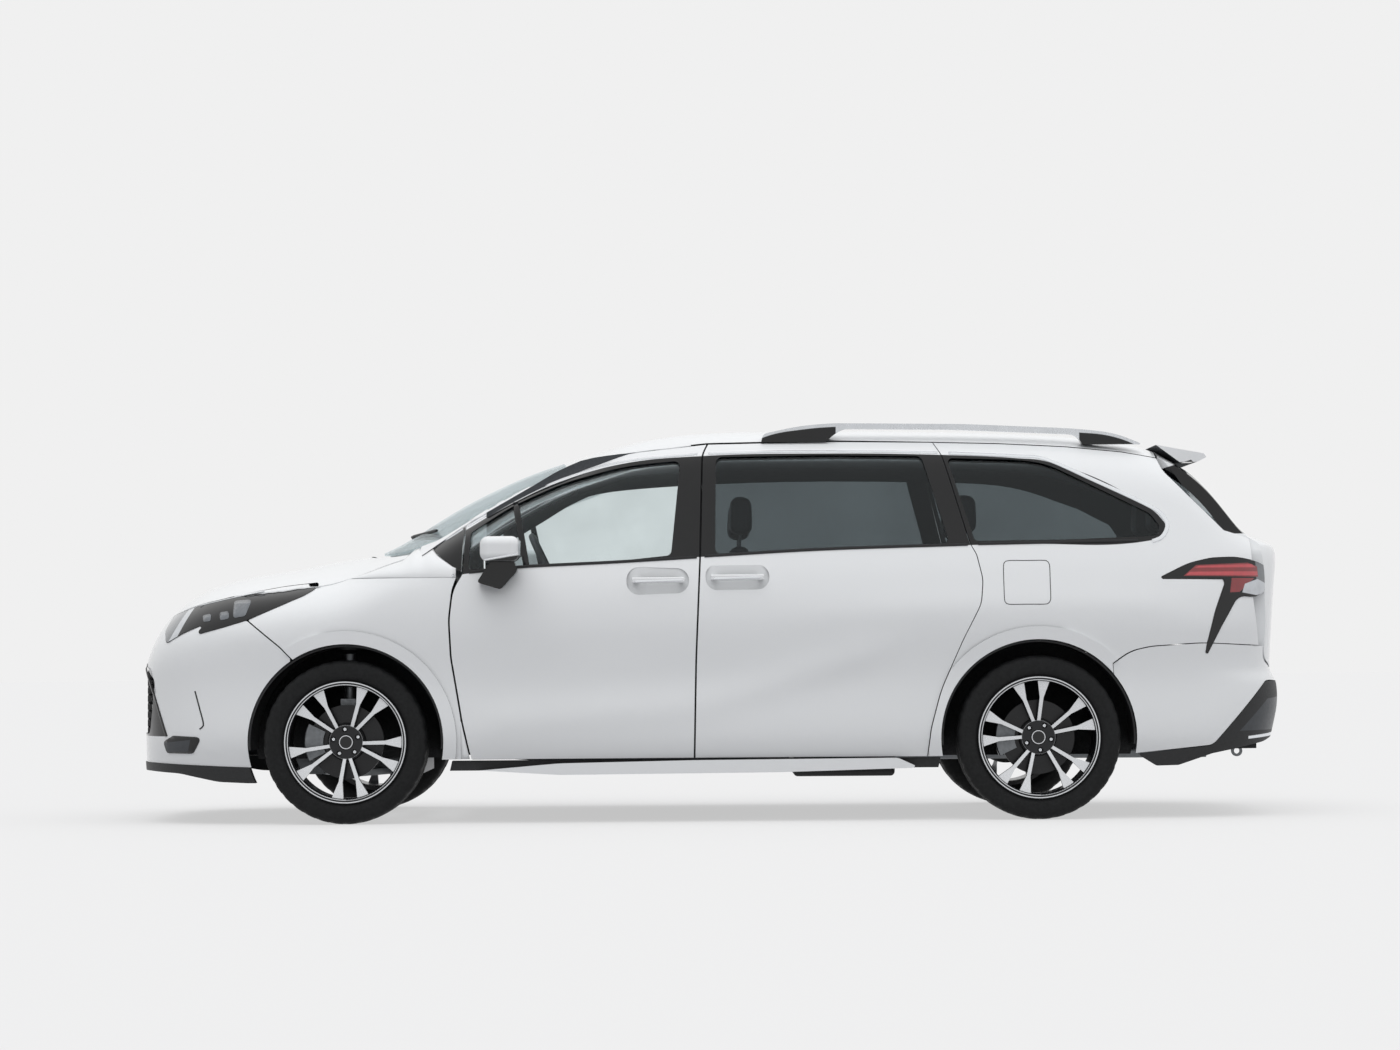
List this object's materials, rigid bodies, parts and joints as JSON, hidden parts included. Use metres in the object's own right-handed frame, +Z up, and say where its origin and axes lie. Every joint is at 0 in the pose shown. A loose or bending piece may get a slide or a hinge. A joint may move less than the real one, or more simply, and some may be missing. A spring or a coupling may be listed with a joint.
{
  "type": "minivan",
  "caption": "Long family minivan with hinged front doors, sliding rear doors, lifting tailgate, hinged hood and steered front wheels.",
  "frame": {"origin": "on the floor, under the middle of the car's box", "axes": "+X rearwards along the car, +Y to the car's right, +Z up"},
  "size_m": [5.1758, 2.336, 1.7734],
  "materials": {
    "body_paint": "satin white clear-coated paint",
    "gloss_black": "gloss black trim",
    "matte_black": "grained black plastic",
    "silver_trim": "satin aluminium",
    "clear_glass": "lightly tinted glass",
    "dark_glass": "dark privacy glass",
    "lamp_lens": "smoked lamp lens",
    "tyre_rubber": "black rubber",
    "wheel_alloy": "machined alloy with dark pockets",
    "steel": "dark cast and pressed steel",
    "seat_leather": "black leather",
    "underbody": "dark underbody coating"
  },
  "bodies": {
    "body": {"cowl_panel": "matte_black", "dashboard": "matte_black", "engine_block": "steel", "exhaust": "steel", "fenders": "body_paint", "floor_pan": "underbody", "front_bumper": "body_paint", "front_lip": "matte_black", "front_subframe": "steel", "fuel_tank": "matte_black", "grille": "gloss_black", "headlamps": "lamp_lens", "pillar_trims": "gloss_black", "quarter_glass": "dark_glass", "quarter_panels": "body_paint", "rear_axle": "steel", "rear_bumper": "body_paint", "rear_valance": "matte_black", "roof_frame": "body_paint", "roof_rails": "silver_trim", "seats_front": "seat_leather", "seats_second": "seat_leather", "seats_third": "seat_leather", "side_skirts": "body_paint", "sills": "matte_black", "sliding_doors": "body_paint", "sliding_glass": "dark_glass", "steering_column": "matte_black", "tail_lamps": "lamp_lens", "tow_eye": "steel", "wheelhouses": "matte_black", "windscreen": "clear_glass"},
    "hood": {"hood": "body_paint"},
    "tailgate": {"tailgate": "body_paint", "rear_glass": "dark_glass", "rear_plate": "gloss_black"},
    "steering_wheel": {"steering_wheel": "seat_leather"},
    "front_door_left": {"front_door_left": "body_paint", "front_door_glass_left": "clear_glass", "mirror_left": "body_paint"},
    "knuckle_left": {"knuckle_left": "steel"},
    "wheel_front_left": {"tyre_front_left": "tyre_rubber", "rim_front_left": "wheel_alloy"},
    "wheel_rear_left": {"tyre_rear_left": "tyre_rubber", "rim_rear_left": "wheel_alloy"},
    "front_door_right": {"front_door_right": "body_paint", "front_door_glass_right": "clear_glass", "mirror_right": "body_paint"},
    "knuckle_right": {"knuckle_right": "steel"},
    "wheel_front_right": {"tyre_front_right": "tyre_rubber", "rim_front_right": "wheel_alloy"},
    "wheel_rear_right": {"tyre_rear_right": "tyre_rubber", "rim_rear_right": "wheel_alloy"}
  },
  "joints": [
    {"name": "wheel_front_left_spin", "type": "hinge", "parent": "knuckle_left", "child": "wheel_front_left", "pos_m": [-1.6175, -0.8675, 0.362], "axis": [0, 1, 0], "continuous": true},
    {"name": "wheel_rear_left_spin", "type": "hinge", "parent": "body", "child": "wheel_rear_left", "pos_m": [1.4425, -0.8675, 0.362], "axis": [0, 1, 0], "continuous": true},
    {"name": "steer_left", "type": "hinge", "parent": "body", "child": "knuckle_left", "pos_m": [-1.6175, -0.79, 0.362], "axis": [0, 0, 1], "range_deg": [-35, 35]},
    {"name": "front_door_left_hinge", "type": "hinge", "parent": "body", "child": "front_door_left", "pos_m": [-1.092, -0.968, 0.7], "axis": [0, 0, -1], "range_deg": [0, 68]},
    {"name": "wheel_front_right_spin", "type": "hinge", "parent": "knuckle_right", "child": "wheel_front_right", "pos_m": [-1.6175, 0.8675, 0.362], "axis": [0, 1, 0], "continuous": true},
    {"name": "wheel_rear_right_spin", "type": "hinge", "parent": "body", "child": "wheel_rear_right", "pos_m": [1.4425, 0.8675, 0.362], "axis": [0, 1, 0], "continuous": true},
    {"name": "steer_right", "type": "hinge", "parent": "body", "child": "knuckle_right", "pos_m": [-1.6175, 0.79, 0.362], "axis": [0, 0, 1], "range_deg": [-35, 35]},
    {"name": "front_door_right_hinge", "type": "hinge", "parent": "body", "child": "front_door_right", "pos_m": [-1.092, 0.968, 0.7], "axis": [0, 0, 1], "range_deg": [0, 68]},
    {"name": "hood_hinge", "type": "hinge", "parent": "body", "child": "hood", "pos_m": [-1.3, 0, 1.165], "axis": [0, 1, 0], "range_deg": [0, 50]},
    {"name": "tailgate_hinge", "type": "hinge", "parent": "body", "child": "tailgate", "pos_m": [2.008, 0, 1.668], "axis": [0, -1, 0], "range_deg": [0, 82]},
    {"name": "steering_wheel_turn", "type": "hinge", "parent": "body", "child": "steering_wheel", "pos_m": [-0.735, -0.4, 1.115], "axis": [0.9063, 0, 0.4226], "range_deg": [-500, 500]}
  ],
  "couplings": [
    {"joint": "steer_right", "follows": "steer_left", "ratio": 1},
    {"joint": "steering_wheel_turn", "follows": "steer_left", "ratio": 14}
  ]
}
